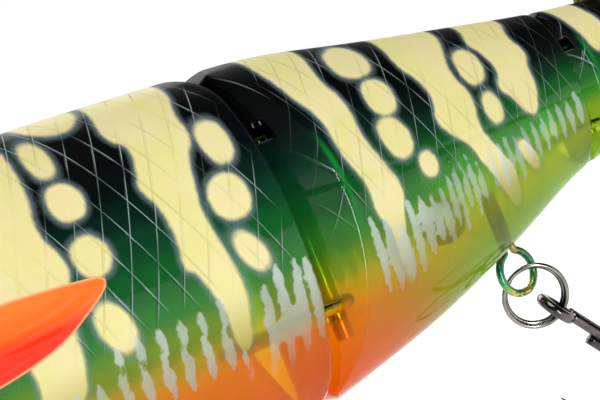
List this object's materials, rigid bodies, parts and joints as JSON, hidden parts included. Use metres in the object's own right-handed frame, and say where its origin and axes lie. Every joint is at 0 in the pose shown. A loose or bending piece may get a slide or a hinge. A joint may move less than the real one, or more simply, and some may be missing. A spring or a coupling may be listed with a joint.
{
  "type": "swimbait",
  "caption": "Hard jointed fish-shaped swimbait: hollow translucent painted segments hinged on upright pins, soft fins and tail, and treble hooks hung from belly wire loops on split rings.",
  "frame": {"origin": "centre of the line-tie eye, just ahead of the nose", "axes": "+X runs from the nose to the tail, +Z towards the fish's back, +Y towards the fish's right side"},
  "size_m": [0.2659, 0.0273, 0.077],
  "materials": {
    "painted_shell": "gloss clear coat over airbrushed translucent green, yellow and orange with opaque black and cream",
    "stainless_wire": "polished wire",
    "painted_wire": "gloss translucent green and gold paint over wire",
    "weight_metal": "dull cast weight",
    "steel_ball": "polished",
    "iris_foil": "foil with a black pupil",
    "clear_lens": "clear resin dome",
    "soft_fin": "soft translucent",
    "nickel_ring": "nickel plated wire",
    "black_nickel_hook": "black nickel, glossy"
  },
  "bodies": {
    "front": {"front_shell_left": "painted_shell", "front_shell_right": "painted_shell", "line_tie": "stainless_wire", "front_hook_hanger": "painted_wire", "front_joint_eye_upper": "stainless_wire", "front_joint_eye_lower": "stainless_wire", "throat_weight": "weight_metal", "eye_iris_left": "iris_foil", "eye_iris_right": "iris_foil", "eye_lens_left": "clear_lens", "eye_lens_right": "clear_lens"},
    "middle": {"middle_shell_left": "painted_shell", "middle_shell_right": "painted_shell", "rear_hook_hanger": "painted_wire", "front_hinge_pin": "stainless_wire", "rear_joint_eye_upper": "stainless_wire", "rear_joint_eye_lower": "stainless_wire"},
    "rattle": {"rattle_ball": "steel_ball"},
    "rear": {"rear_shell_left": "painted_shell", "rear_shell_right": "painted_shell", "rear_hinge_pin": "stainless_wire", "dorsal_fin": "soft_fin", "anal_fin": "soft_fin", "tail_fin": "soft_fin", "tail_pin": "stainless_wire"},
    "front_ring": {"split_ring_front": "nickel_ring"},
    "front_hook": {"treble_front_double": "black_nickel_hook", "treble_front_single": "black_nickel_hook"},
    "rear_ring": {"split_ring_rear": "nickel_ring"},
    "rear_hook": {"treble_rear_double": "black_nickel_hook", "treble_rear_single": "black_nickel_hook"}
  },
  "joints": [
    {"name": "front_joint", "type": "hinge", "parent": "front", "child": "middle", "pos_m": [0.1365, 0, 0], "axis": [0, 0, 1], "range_deg": [-35, 35]},
    {"name": "rear_joint", "type": "hinge", "parent": "middle", "child": "rear", "pos_m": [0.1881, 0, 0], "axis": [0, 0, 1], "range_deg": [-35, 35]},
    {"name": "rattle_roll", "type": "hinge", "parent": "middle", "child": "rattle", "pos_m": [0.157, 0, -0.0046], "axis": [0, 1, 0], "range_deg": [-60, 60]},
    {"name": "front_ring_swing", "type": "hinge", "parent": "front", "child": "front_ring", "pos_m": [0.071, 0, -0.0231], "axis": [0, 1, 0], "range_deg": [-25, 55]},
    {"name": "front_hook_swing", "type": "hinge", "parent": "front_ring", "child": "front_hook", "pos_m": [0.07244, 0, -0.02705], "axis": [-0.5523, -0.809, -0.201], "range_deg": [-44, 6]},
    {"name": "rear_ring_swing", "type": "hinge", "parent": "middle", "child": "rear_ring", "pos_m": [0.1658, 0, -0.0185], "axis": [0, 1, 0], "range_deg": [-25, 55]},
    {"name": "rear_hook_swing", "type": "hinge", "parent": "rear_ring", "child": "rear_hook", "pos_m": [0.16724, 0, -0.02245], "axis": [-0.5523, -0.809, -0.201], "range_deg": [-44, 6]}
  ]
}
